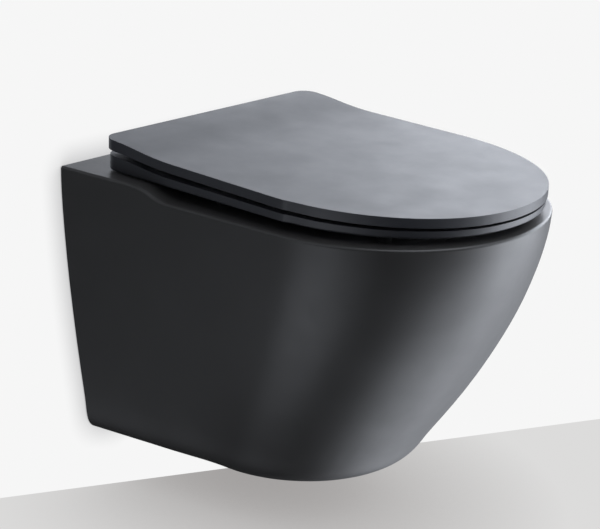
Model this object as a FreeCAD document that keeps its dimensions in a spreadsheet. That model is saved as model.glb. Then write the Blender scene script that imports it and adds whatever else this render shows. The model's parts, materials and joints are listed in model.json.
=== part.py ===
import FreeCAD, Part
import math
import os

# Wall hung toilet. Millimetres, +Z up. The wall is the plane Y = 0 and the pan reaches towards -Y.
# The origin lies on the wall, midway between the two studs that carry the pan.
# "left" is -X and "right" is +X.

DIMENSIONS = {
    # ceramic pan, outside
    "rim_height": 80.0,  # rim above the line of the wall studs
    "deck_rise": 11.0,  # flat deck at the hinges, above the rim
    "deck_length": 106.0,
    "ramp_length": 56.0,
    "pan_depth": 336.5,  # rim to underside
    "pan_reach": 488.0,  # wall to front
    "pan_wall_half": 201.0,  # half width against the wall
    "pan_waist_half": 189.0,  # half width where the front oval starts
    "pan_waist_from_wall": 307.0,
    "reach_taper": 165.0,  # how much each of these four draws in towards the underside
    "wall_taper": 44.0,
    "waist_taper": 61.0,
    "waist_draw": 122.0,
    "keel_height": 21.0,  # height of the rounding under the pan
    "keel_reach": 105.0,  # and how much the rounding takes off each of the four
    "keel_wall": 49.0,
    "keel_waist": 54.0,
    "keel_draw": 23.0,
    "rim_round": 3.0,
    "skin": 12.0,
    "floor_skin": 20.0,
    "rim_plate": 18.0,
    # bowl
    "well_rear": 135.0,  # rear edge, from the wall
    "well_front_land": 33.0,  # rim between the bowl and the pan's front
    "well_side_land": 51.0,  # and at its widest side
    "well_depth": 30.0,
    "well_round": 7.0,
    "shelf_width": 10.0,
    "sump_centre": 250.0,
    "sump_half_x": 30.0,
    "sump_half_y": 36.0,
    "sump_depth": 218.0,  # below the rim
    "bowl_wall": 10.0,
    # trapway and outlet
    "trap_bore": 54.0,
    "trap_wall": 9.0,
    "trap_bend": 32.4,
    "trap_start": 8.0,  # in front of the sump's centre
    "trap_start_rise": 25.0,  # above the sump's floor
    "dip_back": 50.0,  # lowest bend, behind the sump's centre
    "dip_drop": 12.0,  # below the sump's floor
    "weir_back": 112.0,  # highest bend
    "weir_rise": 141.0,
    "outlet_bend_back": 30.0,  # last bend, in front of the outlet
    "outlet_drop": 100.0,  # outlet centre below the studs
    "outlet_bore": 84.0,
    "outlet_outer": 102.0,
    "outlet_length": 60.0,
    "outlet_overlap": 10.0,
    # flush inlet
    "inlet_rise": 35.0,  # inlet centre above the studs
    "inlet_socket": 55.0,
    "inlet_depth": 50.0,
    "inlet_wall": 8.5,
    "inlet_throat": 40.0,
    "flush_slot_width": 70.0,
    "flush_slot_height": 13.0,
    "flush_slot_rise": 2.0,  # above the shelf
    "flush_slot_reach": 14.0,  # into the well, from its rear
    "passage_front": 10.0,  # upright passage behind the well
    "passage_rear": 32.0,
    "chamber_front": 12.0,
    "chamber_rear": 42.0,
    "throat_front": 20.0,
    "flush_pipe": 45.0,
    "seal_length": 30.0,
    # wall fixing
    "stud_spacing": 180.0,
    "stud_hole": 12.5,
    "bracket_width": 44.0,
    "bracket_plate": 8.0,
    "bracket_top": 20.0,  # above the studs
    "bracket_foot": 28.0,  # below the studs
    "bracket_reach": 92.0,
    "nut_flats": 19.0,
    "nut_height": 10.0,
    "washer_diameter": 23.0,
    "washer_thickness": 2.5,
    "ledge_thickness": 12.0,
    "ledge_width": 46.0,
    "rib_inner": 50.0,
    "rib_thickness": 8.0,
    "rib_reach": 8.0,  # past the well's rear
    "rib_foot": 10.0,  # below the studs
    "screw_diameter": 8.0,
    "screw_head": 13.0,
    "screw_head_height": 8.0,
    "screw_reach": 29.0,
    "screw_key": 6.0,
    "screw_play": 1.0,
    "thread_play": 0.1,
    "ledge_hole": 12.0,
    "clamp_plate_x": 30.0,
    "clamp_plate_y": 24.0,
    "clamp_plate_thickness": 3.0,
    # lid and seat outline
    "lid_rear": 42.0,  # rear edge from the wall
    "lid_front_gap": 4.0,  # lid's front edge back from the pan's
    "lid_side_gap": 9.0,  # and its side in from the pan's waist
    "lid_narrowing": 1.5,  # each side, towards the rear corners
    "lid_corner": 20.0,
    "oval_start": 242.0,  # from the lid's rear edge
    "lid_plate": 5.0,
    "lid_lip": 14.0,
    "seat_inset": 1.5,
    # heights above the rim at the lid's front, even climb over the lid's length and extra rise at the hinges
    "lid_height": 29.0,
    "lid_climb": 13.7,
    "lid_rise": 7.2,
    "lid_foot_height": 18.7,
    "lid_foot_climb": 13.26,
    "lid_foot_rise": 5.4,
    "seat_height": 15.4,
    "seat_climb": 8.62,
    "seat_rise": 7.0,
    "seat_foot_height": 7.4,
    "seat_foot_climb": 5.3,
    "rise_length": 110.0,
    "seat_foot_round": 3.0,
    "ring_rear": 160.0,  # rear of the seat's opening, from the wall
    "ring_front": 58.0,  # width of the ring at the front
    "ring_side": 68.0,
    "opening_round": 4.0,
    # hinges
    "post_spacing": 155.0,
    "post_from_wall": 66.0,
    "axis_from_wall": 46.0,
    "axis_height": 31.0,  # hinge axis above the rim
    "block_half": 24.5,
    "block_front": 12.0,  # in front of the post
    "block_top": 37.5,  # above the rim
    "block_corner": 3.0,
    "barrel_diameter": 18.0,
    "post_diameter": 10.0,
    "post_groove": 8.4,
    "groove_height": 3.0,
    "groove_rise": 5.5,  # above the base plate
    "post_height": 12.0,
    "slide_clearance": 0.08,
    "gasket_thickness": 1.0,
    "base_thickness": 2.0,
    "base_diameter": 34.0,
    "shank_diameter": 8.0,
    "shank_play": 0.4,
    "deck_hole": 14.0,
    "bush_clearance": 0.2,
    "bush_length": 37.0,
    "cone_height": 7.0,
    "cone_top": 11.0,
    "shank_end": 1.0,
    "damper_diameter": 13.0,
    "damper_length": 32.0,
    "damper_shaft": 6.0,
    "shaft_depth": 17.0,
    "pin_diameter": 7.0,
    "pin_depth": 14.0,
    "turn_clearance": 0.05,
    "ear_width": 14.0,
    "ear_diameter": 16.0,
    "ear_gap": 0.5,
    "seat_web": 20.0,  # from each of the seat's ears into the ring
    "notch_front": 6.0,  # notch in the seat, clear of the block
    "button_diameter": 13.0,
    "button_height": 9.5,
    "button_proud": 2.0,
    "button_clearance": 0.1,
    "button_travel": 3.0,
    "button_rest": 0.5,  # left below a pressed button
    "clip_width": 18.0,
    "clip_length": 18.0,
    "clip_thickness": 1.6,
    "clip_bridge": 4.0,
    "clip_inset": 2.0,  # behind the block's front
    "clip_clearance": 0.1,
    # buffers
    "buffer_diameter": 18.0,
    "buffer_stem": 6.0,
    "stem_length": 4.0,
    "buffer_flare": 4.0,
    "seat_buffer_rear_in": 40.0,  # in from the pan's waist
    "seat_buffer_rear_y": 200.0,
    "seat_buffer_front_in": 62.0,
    "seat_buffer_front_back": 88.0,  # back from the pan's front
    "lid_buffer_rear_in": 32.0,  # in from the lid's side
    "lid_buffer_rear_y": 165.0,
    "lid_buffer_front_in": 102.0,
    "lid_buffer_front_back": 58.0,
    "lid_buffer_diameter": 14.0,
    "lid_buffer_flare": 3.0,
    # machining
    "through": 2.0,  # how far a hole's tool runs past each face
    "bite": 1.0,  # how far a piece runs into the one it joins
    "end_gap": 1.0,  # past the end of a shaft or pin
}

DERIVED = {
    "lid_length": "pan_reach - lid_rear - lid_front_gap",
    "lid_half": "pan_waist_half - lid_side_gap",
    "lid_rear_half": "lid_half - lid_narrowing",
    "lid_pitch": "lid_climb / lid_length",
    "lid_foot_pitch": "lid_foot_climb / lid_length",
    "seat_pitch": "seat_climb / lid_length",
    "seat_foot_pitch": "seat_foot_climb / lid_length",
    "well_centre": "(pan_reach - well_front_land + well_rear) / 2",
    "well_half_y": "(pan_reach - well_front_land - well_rear) / 2",
    "well_half_x": "pan_waist_half - well_side_land",
    "opening_centre": "(pan_reach - lid_front_gap - ring_front + ring_rear) / 2",
    "opening_half_y": "(pan_reach - lid_front_gap - ring_front - ring_rear) / 2",
    "opening_half_x": "lid_half - ring_side",
    "seat_buffer_rear_x": "pan_waist_half - seat_buffer_rear_in",
    "seat_buffer_front_x": "pan_waist_half - seat_buffer_front_in",
    "seat_buffer_front_y": "pan_reach - seat_buffer_front_back",
    "lid_buffer_rear_x": "lid_half - lid_buffer_rear_in",
    "lid_buffer_front_x": "lid_half - lid_buffer_front_in",
    "lid_buffer_front_y": "pan_reach - lid_buffer_front_back",
}

REACH_POWER = 1.61
WALL_POWER = 1.43
WAIST_POWER = 2.07
KEEL_POWER = 1.88
PAN_OVAL_POWER = 2.01
LID_OVAL_POWER = 2.07
FUNNEL_POWER = 0.72
SIDES = (("left", -1), ("right", 1))
OVER = 20.0  # how far a cutting tool runs past the face it opens
NEAR = 0.2  # points closer than this lie on one face
SIDE_STEPS = 6
OVAL_STEPS = 12
LID_STEPS = 24
FOOT_STEPS = 6
SECTION_GAP = 2.0  # least height between two sections of the pan

doc = FreeCAD.newDocument("WallHungToilet")
sheet = doc.addObject("Spreadsheet::Sheet", "Dimensions")
rows = [(alias, str(value)) for alias, value in DIMENSIONS.items()]
rows += [(alias, f"={formula}") for alias, formula in DERIVED.items()]
for row, (alias, content) in enumerate(rows, start=1):
    sheet.set(f"A{row}", alias)
    sheet.setAlias(f"B{row}", alias)
    sheet.set(f"B{row}", content)
doc.recompute()

BITE = float(sheet.get("bite"))
NODES = []


def size(alias):
    return float(sheet.get(alias))


def sized(expression):
    """Turn a short formula of aliases into one that reads the sheet."""
    words = expression.replace("(", " ( ").replace(")", " ) ").split()
    return " ".join(f"Dimensions.{word}" if word in DIMENSIONS or word in DERIVED else word for word in words)


def bind(item, **formulas):
    for name, formula in formulas.items():
        item.setExpression(name, sized(formula))
    return item


def place(item, x="0", y="0", z="0"):
    item.setExpression(".Placement.Base.x", sized(x))
    item.setExpression(".Placement.Base.y", sized(y))
    item.setExpression(".Placement.Base.z", sized(z))
    return item


def turned(item, direction):
    """Turn a primitive that grows along +Z so that it grows along another direction."""
    item.Placement = FreeCAD.Placement(
        FreeCAD.Vector(), FreeCAD.Rotation(FreeCAD.Vector(0, 0, 1), FreeCAD.Vector(*direction))
    )
    return item


def box(name, length, width, height, x, y, z):
    item = doc.addObject("Part::Box", name)
    bind(item, Length=length, Width=width, Height=height)
    return place(item, x, y, z)


def cylinder(name, diameter, height, x, y, z, direction=(0, 0, 1)):
    item = turned(doc.addObject("Part::Cylinder", name), direction)
    bind(item, Radius=f"( {diameter} ) / 2", Height=height)
    return place(item, x, y, z)


def cone(name, diameter_low, diameter_high, height, x, y, z):
    item = doc.addObject("Part::Cone", name)
    bind(item, Radius1=f"( {diameter_low} ) / 2", Radius2=f"( {diameter_high} ) / 2", Height=height)
    return place(item, x, y, z)


def hexagon(name, flats, height, x, y, z, direction=(0, 0, 1)):
    item = turned(doc.addObject("Part::Prism", name), direction)
    item.Polygon = 6
    bind(item, Circumradius=f"( {flats} ) * {1 / math.sqrt(3)}", Height=height)
    return place(item, x, y, z)


def fused(name, pieces):
    item = doc.addObject("Part::MultiFuse", name)
    item.Shapes = pieces
    return item


def cut(name, base, tools):
    item = doc.addObject("Part::Cut", name)
    item.Base = base
    item.Tool = tools[0] if len(tools) == 1 else fused(f"{name}_tools", tools)
    return item


def node(item, label):
    item.Label = label
    NODES.append(item)
    return item


def feature(shape, label):
    item = doc.addObject("Part::Feature", label)
    item.Shape = shape
    item.Placement = FreeCAD.Placement()
    return node(item, label)


def solid_box(x0, x1, y0, y1, z0, z1):
    return Part.makeBox(x1 - x0, y1 - y0, z1 - z0, FreeCAD.Vector(x0, y0, z0))


def between(first, second, y0, y1, z0, z1):
    low, high = sorted((first, second))
    return solid_box(low, high, y0, y1, z0, z1)


def rod(radius, start, end):
    start = FreeCAD.Vector(*start)
    along = FreeCAD.Vector(*end) - start
    return Part.makeCylinder(radius, along.Length, start, along)


def oval_wire(centre_y, half_x, half_y, z, power=2.0, count=32):
    """A closed smooth oval, level at height z."""
    points = []
    for step in range(count):
        angle = 2 * math.pi * step / count
        across = math.copysign(abs(math.cos(angle)) ** (2 / power), math.cos(angle))
        along = math.copysign(abs(math.sin(angle)) ** (2 / power), math.sin(angle))
        points.append(FreeCAD.Vector(half_x * across, centre_y + half_y * along, z))
    curve = Part.BSplineCurve()
    curve.interpolate(points, PeriodicFlag=True)
    return Part.Wire([curve.toShape()])


def s_curve(start, end):
    """Two equal arcs in the plane X = start.x that leave and arrive level."""
    run = end.y - start.y
    rise = end.z - start.z
    middle = (start + end) / 2
    bow = FreeCAD.Vector(0, run / 4, rise / 4)
    radius = (run * run + rise * rise) / (4 * abs(rise))
    sagitta = radius - math.sqrt(radius * radius - bow.Length ** 2)
    across = FreeCAD.Vector(0, -rise, run).normalize() * math.copysign(sagitta, run * rise)
    first = Part.Arc(start, start + bow - across, middle).toShape()
    second = Part.Arc(middle, middle + bow + across, end).toShape()
    return [first, second]


def under_rise(level, rise, depth, start_y, end_y, front_y, rear_y, half_width):
    """The space below a level face that climbs by rise between start_y and end_y."""
    front = FreeCAD.Vector(-half_width, front_y, level)
    foot = FreeCAD.Vector(-half_width, start_y, level)
    head = FreeCAD.Vector(-half_width, end_y, level + rise)
    rear = FreeCAD.Vector(-half_width, rear_y, level + rise)
    low_rear = FreeCAD.Vector(-half_width, rear_y, level - depth)
    low_front = FreeCAD.Vector(-half_width, front_y, level - depth)
    edges = [Part.makeLine(front, foot)] + s_curve(foot, head)
    edges += [Part.makeLine(head, rear), Part.makeLine(rear, low_rear)]
    edges += [Part.makeLine(low_rear, low_front), Part.makeLine(low_front, front)]
    return Part.Face(Part.Wire(edges)).extrude(FreeCAD.Vector(2 * half_width, 0, 0))


# ---------------------------------------------------------------- ceramic pan

RIM = size("rim_height")
DECK = RIM + size("deck_rise")


def pan_section(depth, inset):
    """Reach, half width at the wall, half width at the waist and the waist's place, at a depth."""
    share = max(depth, 0.0) / size("pan_depth")
    into_keel = (depth - size("pan_depth")) / size("keel_height") + 1
    into_keel = min(max(into_keel, 0.0), 1.0)
    keel = 1 - (1 - into_keel ** KEEL_POWER) ** (1 / KEEL_POWER)
    reach = size("pan_reach") - size("reach_taper") * share ** REACH_POWER - size("keel_reach") * keel
    wall_half = size("pan_wall_half") - size("wall_taper") * share ** WALL_POWER - size("keel_wall") * keel
    waist_half = size("pan_waist_half") - size("waist_taper") * share ** WAIST_POWER
    waist_half -= size("keel_waist") * keel
    waist = size("pan_waist_from_wall") - size("waist_draw") * share ** REACH_POWER
    waist -= size("keel_draw") * keel
    return reach - inset, wall_half - inset, waist_half - inset, waist


def pan_outline(depth, inset):
    """Points of the pan's level outline from the right side, round the front, to the left side."""
    reach, wall_half, waist_half, waist = pan_section(depth, inset)
    flare = (wall_half - waist_half) / waist
    right = [(wall_half + flare * OVER, OVER)]
    for step in range(SIDE_STEPS - 1):
        share = step / SIDE_STEPS
        right.append((wall_half - flare * waist * share, -waist * share))
    for step in range(OVAL_STEPS):
        angle = math.pi / 2 * step / OVAL_STEPS
        across = math.cos(angle) ** (2 / PAN_OVAL_POWER)
        along = math.sin(angle) ** (2 / PAN_OVAL_POWER)
        right.append((waist_half * across, -waist - (reach - waist) * along))
    outline = right + [(0, -reach)] + [(-x, y) for x, y in reversed(right)]
    return [FreeCAD.Vector(x, y, RIM - depth) for x, y in outline]


def path_shares(points):
    """Length along the points up to each of them, so that every section is spaced alike."""
    shares = [0.0]
    for before, after in zip(points, points[1:]):
        shares.append(shares[-1] + before.distanceToPoint(after))
    return shares


def pan_wire(depth, inset=0.0):
    """The pan's level outline, open behind the wall plane and closed there by a line."""
    points = pan_outline(depth, inset)
    curve = Part.BSplineCurve()
    curve.interpolate(points, Parameters=path_shares(pan_outline(size("pan_depth") / 2, 0.0)))
    return Part.Wire([curve.toShape(), Part.makeLine(points[-1], points[0])])


def pan_loft(top, bottom, inset=0.0):
    """The pan's outside, or its hollow, between two depths below the rim."""
    keel_start = size("pan_depth") - size("keel_height")
    keel_steps = (0.0, 0.3, 0.5, 0.66, 0.78, 0.87, 0.93, 0.97, 0.99, 1.0)
    depths = [keel_start * share for share in (0.0, 0.15, 0.3, 0.45, 0.6, 0.75, 0.88)]
    depths += [keel_start + size("keel_height") * share for share in keel_steps]
    inside = [depth for depth in depths if top + SECTION_GAP < depth < bottom - SECTION_GAP]
    wires = [pan_wire(depth, inset) for depth in [top] + inside + [bottom]]
    return Part.makeLoft(wires, True, False)


def pan_outside():
    body = pan_loft(-size("deck_rise"), size("pan_depth"))
    reach = size("pan_reach") + OVER
    half = size("pan_wall_half") + OVER
    ramp_end = size("deck_length") + size("ramp_length")
    below = under_rise(
        RIM, size("deck_rise"), size("pan_depth") + OVER, -ramp_end, -size("deck_length"), -reach, 0.0, half
    )
    body = body.common(below)
    edges = []
    for edge in body.Edges:
        box_of_edge = edge.BoundBox
        if box_of_edge.ZMin > RIM - BITE and box_of_edge.YMin < -BITE and box_of_edge.YLength > BITE:
            middle = edge.valueAt((edge.FirstParameter + edge.LastParameter) / 2)
            if abs(middle.x) > size("pan_wall_half") / 4 or middle.y < -size("well_centre"):
                edges.append(edge)
    return body.makeFillet(size("rim_round"), edges)


def pan_hollow():
    """The space between the bowl and the outer skin, open towards the wall."""
    bottom = size("pan_depth") - size("floor_skin")
    return pan_loft(size("rim_plate"), bottom, size("skin"))


def funnel(extra):
    """The bowl below its shelf, or its outside when extra is the wall."""
    top = size("well_depth")
    wires = []
    for share in (1.0, 0.86, 0.7, 0.54, 0.38, 0.22, 0.1, 0.0):
        wide = share ** FUNNEL_POWER
        depth = size("sump_depth") + (top - size("sump_depth")) * share
        centre = size("sump_centre") + (size("well_centre") - size("sump_centre")) * share
        inner_x = size("well_half_x") - size("shelf_width")
        inner_y = size("well_half_y") - size("shelf_width")
        half_x = size("sump_half_x") + (inner_x - size("sump_half_x")) * wide + extra
        half_y = size("sump_half_y") + (inner_y - size("sump_half_y")) * wide + extra
        drop = extra if share == 0.0 else 0.0
        wires.append(oval_wire(-centre, half_x, half_y, RIM - depth - drop))
    return Part.makeLoft(wires, True, False)


def well(extra, top, bottom):
    """The bowl's upright wall above the shelf."""
    wire = oval_wire(
        -size("well_centre"), size("well_half_x") + extra, size("well_half_y") + extra, bottom
    )
    return Part.Face(wire).extrude(FreeCAD.Vector(0, 0, top - bottom))


def trap_points():
    """Corners of the trapway's centre line in YZ: sump, dip, weir and outlet."""
    sump = -size("sump_centre")
    sump_floor = RIM - size("sump_depth")
    outlet = -size("outlet_drop")
    return [
        (sump - size("trap_start"), sump_floor + size("trap_start_rise")),
        (sump + size("dip_back"), sump_floor - size("dip_drop")),
        (sump + size("weir_back"), sump_floor + size("weir_rise")),
        (-size("outlet_length") - size("outlet_bend_back"), outlet),
        (OVER, outlet),
    ]


def trap_passage():
    """The water way: straight runs joined by tangent arcs."""
    points = [FreeCAD.Vector(0, y, z) for y, z in trap_points()]
    bend = size("trap_bend")
    edges = []
    start = points[0]
    for before, corner, after in zip(points, points[1:], points[2:]):
        arriving = (corner - before).normalize()
        leaving = (after - corner).normalize()
        turn = arriving.getAngle(leaving)
        tangent = bend * math.tan(turn / 2)
        first = corner - arriving * tangent
        last = corner + leaving * tangent
        inward = (leaving - arriving).normalize()
        middle = corner + inward * (bend / math.cos(turn / 2) - bend)
        edges.append(Part.makeLine(start, first))
        edges.append(Part.Arc(first, middle, last).toShape())
        start = last
    edges.append(Part.makeLine(start, points[-1]))
    path = Part.Wire(edges)
    ring = Part.makeCircle(size("trap_bore") / 2, points[0], points[1] - points[0])
    return path.makePipeShell([Part.Wire([ring])], True, False)


def trap_casing():
    radius = size("trap_bore") / 2 + size("trap_wall")
    points = [(0, y, z) for y, z in trap_points()]
    pieces = [rod(radius, start, end) for start, end in zip(points, points[1:])]
    pieces += [Part.makeSphere(radius, FreeCAD.Vector(*corner)) for corner in points[1:-1]]
    return pieces


def make_pan():
    outside = pan_outside()
    outlet_z = -size("outlet_drop")
    outlet_end = -size("outlet_length")
    inlet_z = size("inlet_rise")
    inlet_radius = size("inlet_socket") / 2 + size("inlet_wall")
    slot_half = size("flush_slot_width") / 2
    chamber_half = slot_half + size("inlet_wall")
    well_rear = size("well_half_y") - size("well_centre")
    shelf_z = RIM - size("well_depth")
    hollow_top = RIM - size("rim_plate")
    ledge_foot = size("bracket_top")
    ledge_head = ledge_foot + size("ledge_thickness")
    ledge_y = -size("post_from_wall")
    ledge_half = size("ledge_width") / 2

    added = [funnel(size("bowl_wall")), well(size("bowl_wall"), RIM - BITE, shelf_z - size("bowl_wall"))]
    added += trap_casing()
    added.append(rod(size("outlet_outer") / 2, (0, outlet_end - size("outlet_overlap"), outlet_z),
                     (0, 0, outlet_z)))
    added.append(rod(inlet_radius, (0, well_rear, inlet_z), (0, 0, inlet_z)))
    added.append(solid_box(-chamber_half, chamber_half, well_rear - size("chamber_front"),
                           well_rear + size("chamber_rear"), inlet_z - inlet_radius, RIM - BITE))
    for _, side in SIDES:
        inner = side * size("rib_inner")
        outer = side * (size("rib_inner") + size("rib_thickness"))
        added.append(between(inner, outer, well_rear - size("rib_reach"), 0.0,
                             -size("rib_foot"), hollow_top + BITE))
        added.append(between(inner, side * size("pan_wall_half"), ledge_y - ledge_half, ledge_y + ledge_half,
                             ledge_foot, ledge_head))
    inside = added[0].multiFuse(added[1:]).common(outside)
    body = outside.cut(pan_hollow()).fuse(inside)

    cuts = [funnel(0.0), well(0.0, RIM + OVER, shelf_z), trap_passage()]
    cuts.append(rod(size("outlet_bore") / 2, (0, outlet_end, outlet_z), (0, OVER, outlet_z)))
    cuts.append(rod(size("inlet_socket") / 2, (0, -size("inlet_depth"), inlet_z), (0, OVER, inlet_z)))
    throat_y = well_rear + size("throat_front")
    cuts.append(rod(size("inlet_throat") / 2, (0, throat_y, inlet_z), (0, 0, inlet_z)))
    slot_low = shelf_z + size("flush_slot_rise")
    slot_high = slot_low + size("flush_slot_height")
    passage_y = well_rear + size("passage_front")
    cuts.append(solid_box(-slot_half, slot_half, passage_y, well_rear + size("passage_rear"),
                          inlet_z - size("inlet_throat") / 2, slot_high))
    cuts.append(solid_box(-slot_half, slot_half, well_rear - size("flush_slot_reach"), passage_y + BITE,
                          slot_low, slot_high))
    for _, side in SIDES:
        x = side * size("post_spacing") / 2
        for radius, low, high in (
            (size("deck_hole") / 2, hollow_top - OVER / 2, DECK + OVER),
            (size("ledge_hole") / 2, ledge_foot - BITE, ledge_head + BITE),
        ):
            cuts.append(rod(radius, (x, ledge_y, low), (x, ledge_y, high)))
    for tool in cuts:
        body = body.cut(tool)
    edges = []
    for edge in body.Edges:
        bounds = edge.BoundBox
        level = bounds.ZLength < NEAR and abs(bounds.ZMin - RIM) < NEAR
        inner_rim = bounds.XLength > size("well_half_x") and bounds.XMax < size("well_half_x") + BITE
        if level and inner_rim:
            edges.append(edge)
    return body.makeFillet(size("well_round"), edges)


# ---------------------------------------------------------------- lid and seat

LID_REAR = -size("lid_rear")
LID_FRONT = LID_REAR - size("lid_length")
LID_PEAK = RIM + size("lid_height") + size("lid_pitch") * size("lid_length") + size("lid_rise")
AXIS_Y = -size("axis_from_wall")
AXIS_Z = RIM + size("axis_height")


def lid_outline(inset, z):
    """The shared outline of lid and seat: square rear, nearly straight sides and an oval front."""
    rear = LID_REAR - inset
    rear_half = size("lid_rear_half") - inset
    half = size("lid_half") - inset
    corner = max(size("lid_corner") - inset, 1.0)
    start = LID_REAR - size("oval_start")
    reach = size("lid_length") - size("oval_start") - inset
    slope = (half - rear_half) / size("oval_start")
    front = []
    for step in range(LID_STEPS + 1):
        angle = math.pi * step / LID_STEPS
        across = math.copysign(abs(math.cos(angle)) ** (2 / LID_OVAL_POWER), math.cos(angle))
        along = math.sin(angle) ** (2 / LID_OVAL_POWER)
        front.append(FreeCAD.Vector(half * across, start - reach * along, z))
    curve = Part.BSplineCurve()
    curve.interpolate(front, InitialTangent=FreeCAD.Vector(slope, -1, 0),
                      FinalTangent=FreeCAD.Vector(slope, 1, 0))
    lean = math.sqrt(1 + slope * slope)
    outward = FreeCAD.Vector(1 / lean, slope / lean, 0)
    centre = FreeCAD.Vector(rear_half + corner * (slope - lean), rear - corner, z)
    low = centre + outward * corner
    bow = centre + (outward + FreeCAD.Vector(0, 1, 0)).normalize() * corner
    high = centre + FreeCAD.Vector(0, corner, 0)
    low_left, bow_left, high_left = [FreeCAD.Vector(-point.x, point.y, z) for point in (low, bow, high)]
    edges = [curve.toShape(), Part.makeLine(front[-1], low_left)]
    edges += [Part.Arc(low_left, bow_left, high_left).toShape(), Part.makeLine(high_left, high)]
    edges += [Part.Arc(high, bow, low).toShape(), Part.makeLine(low, front[0])]
    return Part.Wire(edges)


def upright(inset, low, high):
    return Part.Face(lid_outline(inset, low)).extrude(FreeCAD.Vector(0, 0, high - low))


def pitched(shape, level, pitch):
    """Tip a shape about a level line under the lid's front, so that it climbs towards the wall."""
    shape.rotate(FreeCAD.Vector(0, LID_FRONT, level), FreeCAD.Vector(1, 0, 0), math.degrees(math.atan(pitch)))
    return shape


def below_face(height, pitch, rise):
    """Everything below a face that climbs evenly from the front and rises further at the hinges."""
    half = size("lid_half") + OVER
    start = LID_REAR - size("rise_length")
    level = RIM + height
    space = under_rise(level, rise, 3 * OVER, start, LID_REAR, LID_FRONT - OVER, LID_REAR + OVER, half)
    return pitched(space, level, pitch)


def lies_on(edge, height, pitch):
    """Whether an edge lies on the even part of a face."""
    points = edge.discretize(5)
    return all(abs(point.z - RIM - height - pitch * (point.y - LID_FRONT)) < NEAR for point in points)


def hinge_places():
    """Signed X of the inner and outer end of each hinge block."""
    middle = size("post_spacing") / 2
    return [(name, side, side * (middle - size("block_half")), side * (middle + size("block_half")))
            for name, side in SIDES]


def axis_rod(radius, first_x, last_x):
    """A rod on the hinge axis."""
    return rod(radius, (first_x, AXIS_Y, AXIS_Z), (last_x, AXIS_Y, AXIS_Z))


def make_lid():
    top = size("lid_height"), size("lid_pitch"), size("lid_rise")
    foot = size("lid_foot_height"), size("lid_foot_pitch"), size("lid_foot_rise")
    plate_foot = size("lid_height") - size("lid_plate")
    plate = upright(0.0, RIM, LID_PEAK + OVER).common(below_face(*top)).cut(below_face(*foot))
    recess = upright(size("lid_lip"), RIM, LID_PEAK)
    plate = plate.cut(recess.common(below_face(plate_foot, size("lid_pitch"), size("lid_rise"))))
    radius = size("ear_diameter") / 2
    gap = size("ear_gap")
    ceiling = LID_PEAK - size("lid_plate")
    lip_front = LID_REAR - size("lid_lip")
    for name, side, inner, outer in hinge_places():
        ear_inner = outer + side * gap
        ear_outer = ear_inner + side * size("ear_width")
        clear_inner = inner - side * (gap * 2 + size("ear_width"))
        clear_outer = ear_outer + side * gap * 2
        plate = plate.cut(between(clear_inner, clear_outer, lip_front - BITE, 0.0, RIM, ceiling - BITE))
        ear = axis_rod(radius, ear_inner, ear_outer)
        web = between(ear_inner, ear_outer, AXIS_Y - radius, LID_REAR - BITE, AXIS_Z, ceiling + BITE)
        plate = plate.fuse([ear, web])
        bore = size("pin_diameter") if name == "left" else size("damper_shaft")
        plate = plate.cut(axis_rod(bore / 2, ear_inner - side, ear_outer + side))
    return plate.removeSplitter()


def rounded_foot(inset, level, radius):
    """The lowest part of an upright outline, with its foot rounded by a quarter circle."""
    wires = []
    for step in range(FOOT_STEPS + 1):
        angle = math.pi / 2 * step / FOOT_STEPS
        shrink = radius * (1 - math.sin(angle))
        wires.append(lid_outline(inset + shrink, level + radius * (1 - math.cos(angle))))
    return Part.makeLoft(wires, True, True)


def seat_foot(y):
    return RIM + size("seat_foot_height") + size("seat_foot_pitch") * (y - LID_FRONT)


def make_seat():
    top = size("seat_height"), size("seat_pitch")
    foot_level = RIM + size("seat_foot_height")
    ring = rounded_foot(size("seat_inset"), foot_level, size("seat_foot_round"))
    ring = ring.fuse(upright(size("seat_inset"), foot_level + size("seat_foot_round"), LID_PEAK))
    ring = pitched(ring, foot_level, size("seat_foot_pitch")).common(below_face(*top, size("seat_rise")))
    opening = oval_wire(-size("opening_centre"), size("opening_half_x"), size("opening_half_y"), RIM)
    ring = ring.cut(Part.Face(opening).extrude(FreeCAD.Vector(0, 0, LID_PEAK - RIM)))
    inner = [edge for edge in ring.Edges if abs(edge.BoundBox.XMax - size("opening_half_x")) < BITE]
    ring = ring.makeFillet(size("opening_round"), [edge for edge in inner if lies_on(edge, *top)])
    radius = size("ear_diameter") / 2
    gap = size("ear_gap")
    notch_front = -size("post_from_wall") - size("block_front") - size("notch_front")
    for name, side, inner, outer in hinge_places():
        ear_outer = inner - side * gap
        ear_inner = ear_outer - side * size("ear_width")
        notch_outer = outer + side * (gap * 3 + size("ear_width"))
        ring = ring.cut(between(ear_outer, notch_outer, notch_front, OVER, RIM, LID_PEAK))
        ear = axis_rod(radius, ear_inner, ear_outer)
        web = between(ear_inner, ear_outer, AXIS_Y - size("seat_web"), AXIS_Y, AXIS_Z - radius, AXIS_Z)
        ring = ring.fuse([ear, web])
        bore = size("damper_shaft") if name == "left" else size("pin_diameter")
        ring = ring.cut(axis_rod(bore / 2, ear_inner - side, ear_outer + side))
    for x, y in seat_buffer_places():
        stem = rod(size("buffer_stem") / 2, (x, y, RIM), (x, y, seat_foot(y) + size("stem_length")))
        ring = ring.cut(stem)
    return ring.removeSplitter()


def seat_buffer_places():
    rear = (size("seat_buffer_rear_x"), -size("seat_buffer_rear_y"))
    front = (size("seat_buffer_front_x"), -size("seat_buffer_front_y"))
    return [(side * x, y) for x, y in (rear, front) for _, side in SIDES]


feature(make_pan(), "pan")
feature(make_seat(), "seat_ring")
feature(make_lid(), "lid")

# ---------------------------------------------------------------- wall fixing and flush seal

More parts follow.
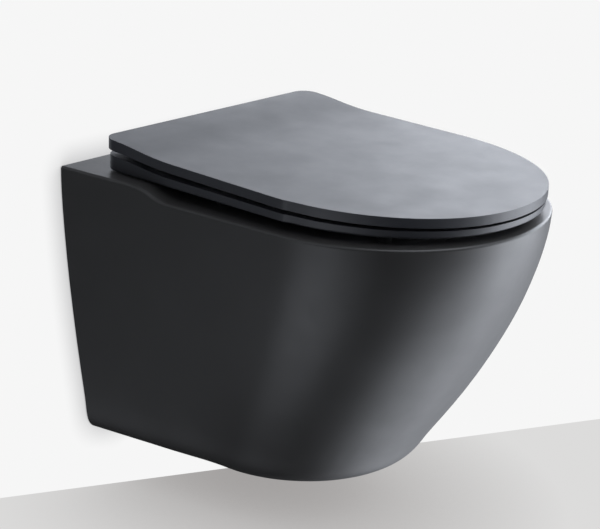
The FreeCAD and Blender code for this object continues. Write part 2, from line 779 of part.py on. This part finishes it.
for name, side in SIDES:
    stud_x = f"{side} * stud_spacing / 2"
    post_x = f"{side} * post_spacing / 2"
    low_x = f"{stud_x} - bracket_width / 2"
    plate = box(f"bracket_plate_{name}", "bracket_width", "bracket_plate", "bracket_top + bracket_foot",
                low_x, "0 - bracket_plate", "0 - bracket_foot")
    arm = box(f"bracket_arm_{name}", "bracket_width", "bracket_reach", "bracket_plate",
              low_x, "0 - bracket_reach", "bracket_top - bracket_plate")
    stud_hole = cylinder(f"stud_hole_{name}", "stud_hole", "bracket_plate + 2 * through",
                         stud_x, "through", "0", (0, -1, 0))
    thread = cylinder(f"bracket_thread_{name}", "screw_diameter + thread_play", "bracket_plate + 2 * through",
                      post_x, "0 - post_from_wall", "bracket_top - bracket_plate - through")
    bracket = fused(f"bracket_blank_{name}", [plate, arm])
    node(cut(f"bracket_cut_{name}", bracket, [stud_hole, thread]), f"wall_bracket_{name}")

    clamp = box(f"clamp_blank_{name}", "clamp_plate_x", "clamp_plate_y", "clamp_plate_thickness",
                f"{post_x} - clamp_plate_x / 2", "0 - post_from_wall - clamp_plate_y / 2",
                "bracket_top + ledge_thickness")
    hole = cylinder(f"clamp_hole_{name}", "screw_diameter + screw_play",
                    "clamp_plate_thickness + 2 * through",
                    post_x, "0 - post_from_wall", "bracket_top + ledge_thickness - through")
    node(cut(f"clamp_cut_{name}", clamp, [hole]), f"clamp_plate_{name}")

washers = []
nuts = []
screws = []
for name, side in SIDES:
    stud_x = f"{side} * stud_spacing / 2"
    post_x = f"{side} * post_spacing / 2"
    disc = cylinder(f"washer_disc_{name}", "washer_diameter", "washer_thickness",
                    stud_x, "0 - bracket_plate", "0", (0, -1, 0))
    hole = cylinder(f"washer_hole_{name}", "stud_hole", "washer_thickness + 2 * through",
                    stud_x, "through - bracket_plate", "0", (0, -1, 0))
    washers.append(cut(f"washer_{name}", disc, [hole]))
    blank = hexagon(f"nut_blank_{name}", "nut_flats", "nut_height",
                    stud_x, "0 - bracket_plate - washer_thickness", "0", (0, -1, 0))
    hole = cylinder(f"nut_hole_{name}", "stud_hole", "nut_height + 2 * through",
                    stud_x, "through - bracket_plate - washer_thickness", "0", (0, -1, 0))
    nuts.append(cut(f"nut_{name}", blank, [hole]))
    head_foot = "bracket_top + ledge_thickness + clamp_plate_thickness"
    head = cylinder(f"screw_head_{name}", "screw_head", "screw_head_height",
                    post_x, "0 - post_from_wall", head_foot)
    shank = cylinder(f"screw_shank_{name}", "screw_diameter", "screw_reach + bite",
                     post_x, "0 - post_from_wall", f"{head_foot} - screw_reach")
    key = hexagon(f"screw_key_{name}", "screw_key", "screw_head_height",
                  post_x, "0 - post_from_wall", f"{head_foot} + screw_head_height / 2")
    screws.append(cut(f"screw_{name}", fused(f"screw_blank_{name}", [head, shank]), [key]))
node(fused("washer_pair", washers), "stud_washers")
node(fused("nut_pair", nuts), "stud_nuts")
node(fused("screw_pair", screws), "clamp_screws")

seal = cylinder("seal_blank", "inlet_socket", "seal_length", "0", "0", "inlet_rise", (0, -1, 0))
pipe_way = cylinder("seal_way", "flush_pipe", "seal_length + 2 * through",
                    "0", "through", "inlet_rise", (0, -1, 0))
node(cut("seal_cut", seal, [pipe_way]), "inlet_seal")

# ---------------------------------------------------------------- hinge posts on the deck

deck = "rim_height + deck_rise"
base_top = f"{deck} + gasket_thickness + base_thickness"
post_y = "0 - post_from_wall"
axis_y = "0 - axis_from_wall"
axis_z = "rim_height + axis_height"
bush_diameter = "deck_hole - 2 * bush_clearance"

for name, side in SIDES:
    post_x = f"{side} * post_spacing / 2"
    disc = cylinder(f"gasket_disc_{name}", "base_diameter", "gasket_thickness", post_x, post_y, deck)
    hole = cylinder(f"gasket_hole_{name}", "shank_diameter + shank_play", "gasket_thickness + 2 * through",
                    post_x, post_y, f"{deck} - through")
    node(cut(f"gasket_cut_{name}", disc, [hole]), f"base_gasket_{name}")
    disc = cylinder(f"base_disc_{name}", "base_diameter", "base_thickness",
                    post_x, post_y, f"{deck} + gasket_thickness")
    hole = cylinder(f"base_hole_{name}", "shank_diameter + shank_play", "base_thickness + 2 * through",
                    post_x, post_y, f"{deck} + gasket_thickness - through")
    node(cut(f"base_cut_{name}", disc, [hole]), f"base_plate_{name}")
    bush_foot = f"{deck} - bush_length"
    bush = cylinder(f"bush_blank_{name}", bush_diameter, "bush_length", post_x, post_y, bush_foot)
    hole = cylinder(f"bush_hole_{name}", "shank_diameter + bush_clearance", "bush_length + 2 * through",
                    post_x, post_y, f"{bush_foot} - through")
    node(cut(f"bush_cut_{name}", bush, [hole]), f"expansion_bush_{name}")
    blank = cone(f"cone_blank_{name}", bush_diameter, "cone_top", "cone_height",
                 post_x, post_y, f"{deck} - bush_length - cone_height")
    hole = cylinder(f"cone_hole_{name}", "shank_diameter + thread_play", "cone_height + 2 * through",
                    post_x, post_y, f"{deck} - bush_length - cone_height - through")
    node(cut(f"cone_cut_{name}", blank, [hole]), f"cone_nut_{name}")
    low = cylinder(f"post_low_{name}", "post_diameter", "groove_rise", post_x, post_y, base_top)
    neck = cylinder(f"post_neck_{name}", "post_groove", "post_height - bite", post_x, post_y, base_top)
    head = cylinder(f"post_head_{name}", "post_diameter", "post_height - groove_rise - groove_height",
                    post_x, post_y, f"{base_top} + groove_rise + groove_height")
    shank_length = "bush_length + cone_height + shank_end + gasket_thickness + base_thickness"
    shank = cylinder(f"post_shank_{name}", "shank_diameter", f"{shank_length} + bite",
                     post_x, post_y, f"{deck} - bush_length - cone_height - shank_end")
    node(fused(f"post_all_{name}", [low, neck, head, shank]), f"hinge_post_{name}")

# ---------------------------------------------------------------- hinge blocks, dampers, clips and buttons

for name, side in SIDES:
    post_x = f"{side} * post_spacing / 2"
    inner_x = f"{side} * ( post_spacing / 2 - block_half )"
    outer_x = f"{side} * ( post_spacing / 2 + block_half )"
    core = box(f"block_core_{name}", "2 * block_half", "post_from_wall - axis_from_wall + block_front",
               "block_top - deck_rise - gasket_thickness - base_thickness",
               f"{post_x} - block_half", f"{post_y} - block_front", base_top)
    barrel = cylinder(f"block_barrel_{name}", "barrel_diameter", "2 * block_half",
                      f"{post_x} - block_half", axis_y, axis_z, (1, 0, 0))
    rounded = doc.addObject("Part::Fillet", f"block_round_{name}")
    rounded.Base = core
    doc.recompute()
    front_top = []
    for index, edge in enumerate(core.Shape.Edges, start=1):
        bounds = edge.BoundBox
        if bounds.YMax < -size("post_from_wall") and bounds.ZMin > RIM + size("block_top") - 1:
            front_top.append((index, size("block_corner"), size("block_corner")))
    rounded.Edges = front_top
    socket = cylinder(f"block_socket_{name}", "post_diameter + 2 * slide_clearance", "post_height + 2 * bite",
                      post_x, post_y, f"{base_top} - bite")
    button_floor = "rim_height + block_top + button_proud - button_height - button_travel - button_rest"
    button_way = cylinder(f"block_button_way_{name}", "button_diameter + 2 * button_clearance",
                          "block_top", post_x, post_y, button_floor)
    clip_z = f"{base_top} + groove_rise + ( groove_height - clip_thickness ) / 2"
    clip_slot = box(f"block_clip_slot_{name}", "clip_width", f"clip_length + {OVER}", "clip_thickness",
                    f"{post_x} - clip_width / 2", f"{post_y} - block_front - {OVER} + clip_inset", clip_z)
    damper_end = inner_x if name == "left" else outer_x
    pin_end = outer_x if name == "left" else inner_x
    damper_way = cylinder(f"block_damper_way_{name}", "damper_diameter", "damper_length",
                          damper_end, axis_y, axis_z, (-1, 0, 0))
    pin_way = cylinder(f"block_pin_way_{name}", "pin_diameter + 2 * turn_clearance", "pin_depth",
                       pin_end, axis_y, axis_z, (1, 0, 0))
    blank = fused(f"block_blank_{name}", [rounded, barrel])
    ways = [socket, button_way, clip_slot, damper_way, pin_way]
    node(cut(f"block_cut_{name}", blank, ways), f"hinge_block_{name}")

    case = cylinder(f"damper_case_{name}", "damper_diameter", "damper_length",
                    damper_end, axis_y, axis_z, (-1, 0, 0))
    shaft_way = cylinder(f"damper_way_{name}", "damper_shaft + 2 * turn_clearance", "shaft_depth",
                         damper_end, axis_y, axis_z, (-1, 0, 0))
    node(cut(f"damper_cut_{name}", case, [shaft_way]), f"damper_{name}")

    shaft_start = f"{damper_end} + ear_gap + ear_width"
    shaft = cylinder(f"shaft_rod_{name}", "damper_shaft", "ear_gap + ear_width + shaft_depth - end_gap",
                     shaft_start, axis_y, axis_z, (-1, 0, 0))
    carried = "seat" if name == "left" else "lid"
    node(shaft, f"{carried}_damper_shaft")

    pin_start = f"{pin_end} - ear_gap - ear_width"
    pin = cylinder(f"pin_rod_{name}", "pin_diameter", "ear_gap + ear_width + pin_depth - end_gap",
                   pin_start, axis_y, axis_z, (1, 0, 0))
    carried = "lid" if name == "left" else "seat"
    node(pin, f"{carried}_hinge_pin")

    plate = box(f"clip_plate_{name}", "clip_width", "clip_length", "clip_thickness",
                f"{post_x} - clip_width / 2", f"{post_y} - block_front + clip_inset", clip_z)
    jaw = box(f"clip_jaw_{name}", "post_diameter + 2 * clip_clearance", "clip_length",
              "clip_thickness + 2 * bite",
              f"{post_x} - post_diameter / 2 - clip_clearance",
              f"{post_y} - block_front + clip_inset + clip_bridge", f"{clip_z} - bite")
    node(cut(f"clip_cut_{name}", plate, [jaw]), f"latch_clip_{name}")

    button = cylinder(f"button_body_{name}", "button_diameter", "button_height",
                      post_x, post_y, "rim_height + block_top + button_proud - button_height")
    node(button, f"release_button_{name}")

# ---------------------------------------------------------------- rubber buffers

BUFFER_ENDS = (("rear", "seat_buffer_rear_x", "seat_buffer_rear_y", "lid_buffer_rear_x", "lid_buffer_rear_y"),
               ("front", "seat_buffer_front_x", "seat_buffer_front_y", "lid_buffer_front_x",
                "lid_buffer_front_y"))
for end, seat_x, seat_y, lid_x, lid_y in BUFFER_ENDS:
    from_front = f"lid_rear + lid_length - {seat_y}"
    foot_height = f"seat_foot_height + seat_foot_pitch * ( {from_front} - buffer_diameter / 2 )"
    stem_height = f"seat_foot_height + seat_foot_pitch * ( {from_front} ) + stem_length"
    from_front = f"lid_rear + lid_length - {lid_y}"
    pad_foot = f"seat_height + seat_pitch * ( {from_front} + lid_buffer_diameter / 2 )"
    pad_head = f"lid_height - lid_plate + lid_pitch * ( {from_front} - lid_buffer_diameter / 2 )"
    for name, side in SIDES:
        foot = cone(f"seat_buffer_foot_{end}_{name}", "buffer_diameter - buffer_flare", "buffer_diameter",
                    foot_height, f"{side} * {seat_x}", f"0 - {seat_y}", "rim_height")
        stem = cylinder(f"seat_buffer_stem_{end}_{name}", "buffer_stem", stem_height,
                        f"{side} * {seat_x}", f"0 - {seat_y}", "rim_height")
        node(fused(f"seat_buffer_all_{end}_{name}", [foot, stem]), f"seat_buffer_{end}_{name}")
        pad = cone(f"lid_buffer_pad_{end}_{name}", "lid_buffer_diameter - lid_buffer_flare",
                   "lid_buffer_diameter", f"{pad_head} - ( {pad_foot} )",
                   f"{side} * {lid_x}", f"0 - {lid_y}", f"rim_height + {pad_foot}")
        node(pad, f"lid_buffer_{end}_{name}")

doc.recompute()

# ---------------------------------------------------------------- checks and files

for item in doc.Objects:
    state = " ".join(item.State)
    if "Invalid" in state or "Error" in state:
        raise RuntimeError(f"{item.Label} did not build: {state}")
for item in NODES:
    shape = item.Shape
    if shape.isNull() or not shape.isValid() or not shape.Solids:
        raise RuntimeError(f"{item.Label} has no valid solid")

os.makedirs("parts", exist_ok=True)
for item in NODES:
    item.Shape.exportStep(f"parts/{item.Label}.step")
    print(f"{item.Label}: {len(item.Shape.Solids)} solid(s), {item.Shape.Volume / 1000:.2f} cm3")
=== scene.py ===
import json
import math

import bmesh
import bpy
from mathutils import Matrix, Vector


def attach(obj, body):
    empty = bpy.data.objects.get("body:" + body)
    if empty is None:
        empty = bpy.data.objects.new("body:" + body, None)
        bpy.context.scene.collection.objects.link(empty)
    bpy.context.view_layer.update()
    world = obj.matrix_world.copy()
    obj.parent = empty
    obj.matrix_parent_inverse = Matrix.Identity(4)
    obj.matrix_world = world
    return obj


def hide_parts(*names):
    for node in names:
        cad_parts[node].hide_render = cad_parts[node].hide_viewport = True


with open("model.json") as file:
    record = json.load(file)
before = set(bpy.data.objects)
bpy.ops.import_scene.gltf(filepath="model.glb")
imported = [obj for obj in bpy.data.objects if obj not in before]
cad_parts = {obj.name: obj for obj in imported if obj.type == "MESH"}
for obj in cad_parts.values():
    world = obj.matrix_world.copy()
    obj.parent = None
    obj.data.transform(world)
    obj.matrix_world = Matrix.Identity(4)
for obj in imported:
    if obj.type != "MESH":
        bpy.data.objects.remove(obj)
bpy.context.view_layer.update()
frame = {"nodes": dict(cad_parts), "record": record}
NODES = frame["nodes"]
SLOT_OF = {part["node"]: part["material_slot"] for part in frame["record"]["subparts"]}
SCENE = bpy.context.scene
MM = 0.001


# ---------------------------------------------------------------- materials

# Satin surfaces: darker and lighter colour, least and most roughness, grains per metre, grain depth and
# swell depth in millimetres.
SATINS = {
    "ceramic": ((0.026, 0.025, 0.024), (0.031, 0.03, 0.029), (0.4, 0.46), 1400.0, 0.02, 0.15),
    "duroplast": ((0.022, 0.023, 0.027), (0.026, 0.027, 0.031), (0.42, 0.47), 1900.0, 0.015, 0.0),
    "buffer_rubber": ((0.012, 0.012, 0.012), (0.02, 0.02, 0.02), (0.6, 0.75), 700.0, 0.05, 0.0),
    "seal_rubber": ((0.018, 0.018, 0.018), (0.03, 0.03, 0.03), (0.65, 0.8), 600.0, 0.05, 0.0),
    "button_plastic": ((0.2, 0.2, 0.21), (0.24, 0.24, 0.25), (0.35, 0.45), 900.0, 0.02, 0.0),
    "damper_plastic": ((0.42, 0.42, 0.4), (0.5, 0.5, 0.47), (0.35, 0.5), 700.0, 0.02, 0.0),
}

# Metals: colour, least and most roughness, how the noise is squeezed along each axis, noise scale.
ALONG_X = (1.0, 14.0, 14.0)
ALONG_Z = (12.0, 12.0, 1.0)
EVEN = (1.0, 1.0, 1.0)
METALS = {
    "hinge_metal": ((0.55, 0.55, 0.56), (0.26, 0.4), ALONG_X, 160.0),
    "zinc_steel": ((0.66, 0.67, 0.66), (0.3, 0.5), EVEN, 90.0),
    "brass": ((0.78, 0.58, 0.27), (0.25, 0.42), ALONG_Z, 120.0),
    "stainless": ((0.62, 0.62, 0.61), (0.2, 0.34), ALONG_Z, 140.0),
}

NOISE_RANGE = (0.3, 0.7)  # where nearly all of a noise's values lie
DRIFT_SCALE = 6.0
GLOSS_SCALE = 22.0
SWELL_SCALE = 9.0
GRAIN_STRENGTH = 0.25
SWELL_STRENGTH = 0.3
STREAK_STRENGTH = 0.2
STREAK_DEPTH = 0.05 * MM
STREAK_SHADE = 0.82  # colour in a streak, as a share of the metal's own


def new_material(name):
    """A material with only its output and surface shader."""
    material = bpy.data.materials.new(name)
    material.use_nodes = True
    tree = material.node_tree
    tree.nodes.clear()
    output = tree.nodes.new("ShaderNodeOutputMaterial")
    shader = tree.nodes.new("ShaderNodeBsdfPrincipled")
    tree.links.new(shader.outputs["BSDF"], output.inputs["Surface"])
    return material, tree, shader


def noise(tree, scale, detail, roughness=0.5, stretch=EVEN):
    """Noise in the object's own space."""
    place = tree.nodes.new("ShaderNodeTexCoord")
    mapping = tree.nodes.new("ShaderNodeMapping")
    mapping.inputs["Scale"].default_value = stretch
    texture = tree.nodes.new("ShaderNodeTexNoise")
    texture.inputs["Scale"].default_value = scale
    texture.inputs["Detail"].default_value = detail
    texture.inputs["Roughness"].default_value = roughness
    tree.links.new(place.outputs["Object"], mapping.inputs["Vector"])
    tree.links.new(mapping.outputs["Vector"], texture.inputs["Vector"])
    return texture.outputs["Fac"]


def spread(tree, value, low, high):
    """Stretch a noise value to the range low to high."""
    ramp = tree.nodes.new("ShaderNodeMapRange")
    ramp.inputs["From Min"].default_value = NOISE_RANGE[0]
    ramp.inputs["From Max"].default_value = NOISE_RANGE[1]
    ramp.inputs["To Min"].default_value = low
    ramp.inputs["To Max"].default_value = high
    tree.links.new(value, ramp.inputs["Value"])
    return ramp.outputs["Result"]


def mixed(tree, value, first, second):
    """Mix two colours by a value from 0 to 1."""
    mix = tree.nodes.new("ShaderNodeMix")
    mix.data_type = "RGBA"
    mix.inputs["A"].default_value = (*first, 1.0)
    mix.inputs["B"].default_value = (*second, 1.0)
    tree.links.new(value, mix.inputs["Factor"])
    return mix.outputs["Result"]


def bump(tree, shader, layers):
    """Stack bump layers of (height, strength, distance)."""
    normal = None
    for height, strength, distance in layers:
        node = tree.nodes.new("ShaderNodeBump")
        node.inputs["Strength"].default_value = strength
        node.inputs["Distance"].default_value = distance
        tree.links.new(height, node.inputs["Height"])
        if normal is not None:
            tree.links.new(normal, node.inputs["Normal"])
        normal = node.outputs["Normal"]
    tree.links.new(normal, shader.inputs["Normal"])


def satin(name, dark, light, roughness, grain, grain_depth, swell_depth):
    """A satin surface: faint colour drift, uneven gloss, fine grain and, on large pieces, a slow swell."""
    material, tree, shader = new_material(name)
    drift = spread(tree, noise(tree, DRIFT_SCALE, 4.0), 0.0, 1.0)
    tree.links.new(mixed(tree, drift, dark, light), shader.inputs["Base Color"])
    gloss = spread(tree, noise(tree, GLOSS_SCALE, 5.0, 0.6), *roughness)
    tree.links.new(gloss, shader.inputs["Roughness"])
    layers = [(noise(tree, grain, 2.0), GRAIN_STRENGTH, grain_depth * MM)]
    if swell_depth:
        layers.append((noise(tree, SWELL_SCALE, 1.0), SWELL_STRENGTH, swell_depth * MM))
    bump(tree, shader, layers)
    return material


def metal(name, colour, roughness, stretch, streaks):
    """Metal with fine drawn or turned streaks."""
    material, tree, shader = new_material(name)
    shader.inputs["Metallic"].default_value = 1.0
    lines = noise(tree, streaks, 4.0, 0.6, stretch)
    darker = tuple(STREAK_SHADE * channel for channel in colour)
    tree.links.new(mixed(tree, spread(tree, lines, 0.0, 1.0), darker, colour), shader.inputs["Base Color"])
    tree.links.new(spread(tree, lines, *roughness), shader.inputs["Roughness"])
    bump(tree, shader, [(lines, STREAK_STRENGTH, STREAK_DEPTH)])
    return material


MATERIALS = {name: satin(name, *look) for name, look in SATINS.items()}
MATERIALS.update({name: metal(name, *look) for name, look in METALS.items()})


def dress(piece, slot):
    piece.data.materials.clear()
    piece.data.materials.append(MATERIALS[slot])


for name, node in NODES.items():
    dress(node, SLOT_OF[name])


# ---------------------------------------------------------------- moulded pieces with rounded edges

EDGE_ROUND = 1.3 * MM
EDGE_STEPS = 3
EDGE_ANGLE = math.radians(35)  # a sharper edge than this is rounded
SHADING_ANGLE = math.radians(40)
SAME_PLACE = 0.002 * MM
SAME_PLANE = math.radians(0.05)
FLAT_WEIGHT = 80  # how far the large faces lead the shading


def rounded_copy(name, body):
    """A copy of a node with its sharp edges rounded, which stands in for the node."""
    mesh = NODES[name].data.copy()
    mesh.name = f"{name}_rounded"
    piece = bpy.data.objects.new(f"{name}_rounded", mesh)
    SCENE.collection.objects.link(piece)
    work = bmesh.new()
    work.from_mesh(mesh)
    bmesh.ops.remove_doubles(work, verts=work.verts, dist=SAME_PLACE)
    bmesh.ops.dissolve_limit(
        work, angle_limit=SAME_PLANE, use_dissolve_boundaries=False, verts=work.verts, edges=work.edges
    )
    sharp = [edge for edge in work.edges
             if len(edge.link_faces) == 2 and edge.calc_face_angle(0.0) > EDGE_ANGLE]
    bmesh.ops.bevel(
        work, geom=sharp, offset=EDGE_ROUND, offset_type="OFFSET", segments=EDGE_STEPS, profile=0.5,
        affect="EDGES", clamp_overlap=True,
    )
    work.to_mesh(mesh)
    work.free()
    if "custom_normal" in mesh.attributes:
        mesh.attributes.remove(mesh.attributes["custom_normal"])
    mesh.shade_smooth()
    mesh.set_sharp_from_angle(angle=SHADING_ANGLE)
    even = piece.modifiers.new("even_shading", "WEIGHTED_NORMAL")
    even.keep_sharp = True
    even.weight = FLAT_WEIGHT
    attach(piece, body)
    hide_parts(name)
    dress(piece, SLOT_OF[name])


rounded_copy("lid", "lid")
rounded_copy("seat_ring", "seat")


# ---------------------------------------------------------------- stage

FLOOR_Z = -0.315
WALL_Y = 0.002
SHEET_REACH = 14.0
PALE_WALL = (0.922, 0.922, 0.922)
WALL_SHADE = (0.36, 0.36, 0.37)
WALL_SHADE_REACH = 0.03
PALE_FLOOR = (0.716, 0.712, 0.708)
FLOOR_SHADE = (0.30, 0.285, 0.28)
FLOOR_SHADE_REACH = 0.2
SHADE_SAMPLES = 16
# Two points of the photo's line between floor and wall, as X and Z on the wall and as X and Y on the floor.
WALL_FOOT = ((-0.301, -0.288), (0.253, -0.430))
FLOOR_BACK = ((0.449, -0.369), (-0.267, 0.040))


def backdrop_material(name, pale, shade, reach):
    """A pale surface that only the camera sees, from its front alone, with a soft shade painted into its
    colour near the object.
    """
    material = bpy.data.materials.new(name)
    material.use_nodes = True
    tree = material.node_tree
    tree.nodes.clear()
    output = tree.nodes.new("ShaderNodeOutputMaterial")
    # Painted shade: the emitted colour turns from pale to the shade colour where other geometry is near.
    painted_shade_occlusion = tree.nodes.new("ShaderNodeAmbientOcclusion")
    painted_shade_occlusion.samples = SHADE_SAMPLES
    painted_shade_occlusion.inputs["Distance"].default_value = reach
    glow = tree.nodes.new("ShaderNodeEmission")
    tree.links.new(mixed(tree, painted_shade_occlusion.outputs["AO"], shade, pale), glow.inputs["Color"])
    path = tree.nodes.new("ShaderNodeLightPath")
    side = tree.nodes.new("ShaderNodeNewGeometry")
    front = tree.nodes.new("ShaderNodeMath")
    front.operation = "SUBTRACT"
    front.use_clamp = True
    tree.links.new(path.outputs["Is Camera Ray"], front.inputs[0])
    tree.links.new(side.outputs["Backfacing"], front.inputs[1])
    clear = tree.nodes.new("ShaderNodeBsdfTransparent")
    choice = tree.nodes.new("ShaderNodeMixShader")
    tree.links.new(front.outputs["Value"], choice.inputs["Fac"])
    tree.links.new(clear.outputs["BSDF"], choice.inputs[1])
    tree.links.new(glow.outputs["Emission"], choice.inputs[2])
    tree.links.new(choice.outputs["Shader"], output.inputs["Surface"])
    return material


def backdrop(name, edge, spread_by, to_space, material):
    """A flat sheet that starts at a line and runs far off to one side of it."""
    first, second = (Vector(point) for point in edge)
    along = (second - first).normalized() * SHEET_REACH
    across = Vector(spread_by)
    corners = [first - along, second + along, second + along + across, first - along + across]
    mesh = bpy.data.meshes.new(name)
    mesh.from_pydata([to_space(corner) for corner in corners], [], [(0, 1, 2, 3)])
    mesh.materials.append(material)
    sheet = bpy.data.objects.new(name, mesh)
    SCENE.collection.objects.link(sheet)
    sheet.visible_shadow = False


backdrop(
    "wall", WALL_FOOT, (0.0, SHEET_REACH), lambda p: (p.x, WALL_Y, p.y),
    backdrop_material("wall", PALE_WALL, WALL_SHADE, WALL_SHADE_REACH),
)
backdrop(
    "floor", FLOOR_BACK, (0.0, -SHEET_REACH), lambda p: (p.x, p.y, FLOOR_Z),
    backdrop_material("floor", PALE_FLOOR, FLOOR_SHADE, FLOOR_SHADE_REACH),
)


# ---------------------------------------------------------------- light

# Soft panels far off: azimuth from the front towards +X, elevation, inner and outer half angle, strength.
PANELS = (
    (-103.0, 30.0, 8.0, 30.0, 1.2),
    (-95.0, -35.0, 8.0, 30.0, 1.9),
    (40.0, -50.0, 8.0, 35.0, 2.8),
    (80.0, -40.0, 8.0, 35.0, 0.98),
    (50.0, -10.0, 8.0, 35.0, 5.4),
    (15.0, 62.0, 8.0, 35.0, 3.6),
    (116.0, 14.0, 6.0, 28.0, 3.2),
    (178.0, 12.0, 8.0, 35.0, 1.4),
)
FILL = 0.002  # even light from all round
LIGHT_COLOUR = (0.88, 0.92, 1.0)

# Area lights: place, the point that each faces, width, height and power in watts.
SOFT_LIGHTS = {
    "right_panel": ((1.1, -0.05, 0.45), (0.0, -0.25, 0.0), 0.9, 0.6, 3.0),
    "front_panel": ((1.2, -0.6, 0.4), (0.0, -0.25, 0.0), 0.8, 0.6, 10.0),
    "overhead": ((0.1, -0.2, 2.2), (0.0, -0.2, 0.0), 2.0, 2.0, 3.4),
}


def direction(azimuth, elevation):
    """Unit vector towards a panel, from angles in degrees."""
    level = math.cos(math.radians(elevation))
    return (
        math.sin(math.radians(azimuth)) * level,
        -math.cos(math.radians(azimuth)) * level,
        math.sin(math.radians(elevation)),
    )


def panel_strength(tree, place, azimuth, elevation, inner, outer, strength):
    """A disc of light on the sky, full inside its inner half angle and gone at the outer one."""
    dot = tree.nodes.new("ShaderNodeVectorMath")
    dot.operation = "DOT_PRODUCT"
    dot.inputs[1].default_value = direction(azimuth, elevation)
    tree.links.new(place.outputs["Generated"], dot.inputs[0])
    edge = tree.nodes.new("ShaderNodeMapRange")
    edge.interpolation_type = "SMOOTHSTEP"
    edge.inputs["From Min"].default_value = math.cos(math.radians(outer))
    edge.inputs["From Max"].default_value = math.cos(math.radians(inner))
    edge.inputs["To Min"].default_value = 0.0
    edge.inputs["To Max"].default_value = strength
    tree.links.new(dot.outputs["Value"], edge.inputs["Value"])
    return edge.outputs["Result"]


def make_world():
    """The panels light the object, and the camera sees a plain pale background instead of them."""
    world = bpy.data.worlds.new("studio")
    world.use_nodes = True
    tree = world.node_tree
    tree.nodes.clear()
    output = tree.nodes.new("ShaderNodeOutputWorld")
    place = tree.nodes.new("ShaderNodeTexCoord")
    total = None
    for panel in PANELS:
        add = tree.nodes.new("ShaderNodeMath")
        add.operation = "ADD"
        tree.links.new(panel_strength(tree, place, *panel), add.inputs[0])
        if total is None:
            add.inputs[1].default_value = FILL
        else:
            tree.links.new(total, add.inputs[1])
        total = add.outputs["Value"]
    light = tree.nodes.new("ShaderNodeBackground")
    light.inputs["Color"].default_value = (*LIGHT_COLOUR, 1.0)
    tree.links.new(total, light.inputs["Strength"])
    wall = tree.nodes.new("ShaderNodeBackground")
    wall.inputs["Color"].default_value = (*PALE_WALL, 1.0)
    path = tree.nodes.new("ShaderNodeLightPath")
    mix = tree.nodes.new("ShaderNodeMixShader")
    tree.links.new(path.outputs["Is Camera Ray"], mix.inputs["Fac"])
    tree.links.new(light.outputs["Background"], mix.inputs[1])
    tree.links.new(wall.outputs["Background"], mix.inputs[2])
    tree.links.new(mix.outputs["Shader"], output.inputs["Surface"])
    SCENE.world = world


def soft_light(name, place, target, width, height, power):
    data = bpy.data.lights.new(name, "AREA")
    data.shape = "RECTANGLE"
    data.size = width
    data.size_y = height
    data.energy = power
    data.color = LIGHT_COLOUR
    light = bpy.data.objects.new(name, data)
    SCENE.collection.objects.link(light)
    light.location = place
    light.rotation_euler = (Vector(target) - Vector(place)).to_track_quat("-Z", "Y").to_euler()


make_world()
for name, values in SOFT_LIGHTS.items():
    soft_light(name, *values)


# ---------------------------------------------------------------- camera

FOCAL_PX = 1600.0
IMAGE_WIDTH_PX = 600.0
SENSOR_WIDTH = 36.0
AZIMUTH = math.radians(-51.165)
ELEVATION = math.radians(18.917)
ROLL = math.radians(2.265)
CAMERA_PLACE = (-1.38266, -1.30232, 0.58051)


def make_camera():
    """A camera at the photo's viewing angle, rolled slightly as the photo is."""
    data = bpy.data.cameras.new("camera")
    data.sensor_fit = "HORIZONTAL"
    data.sensor_width = SENSOR_WIDTH
    data.lens = FOCAL_PX / IMAGE_WIDTH_PX * SENSOR_WIDTH
    data.clip_start = 0.05
    data.clip_end = 60.0
    back = Vector((
        math.sin(AZIMUTH) * math.cos(ELEVATION),
        -math.cos(AZIMUTH) * math.cos(ELEVATION),
        math.sin(ELEVATION),
    ))
    level_right = (-back).cross(Vector((0, 0, 1))).normalized()
    level_up = level_right.cross(-back)
    right = level_right * math.cos(ROLL) + level_up * math.sin(ROLL)
    up = level_up * math.cos(ROLL) - level_right * math.sin(ROLL)
    rotation = Matrix((right, up, back)).transposed()
    camera = bpy.data.objects.new("camera", data)
    SCENE.collection.objects.link(camera)
    camera.matrix_world = Matrix.Translation(CAMERA_PLACE) @ rotation.to_4x4()
    SCENE.camera = camera


make_camera()
SCENE.view_settings.view_transform = "Standard"
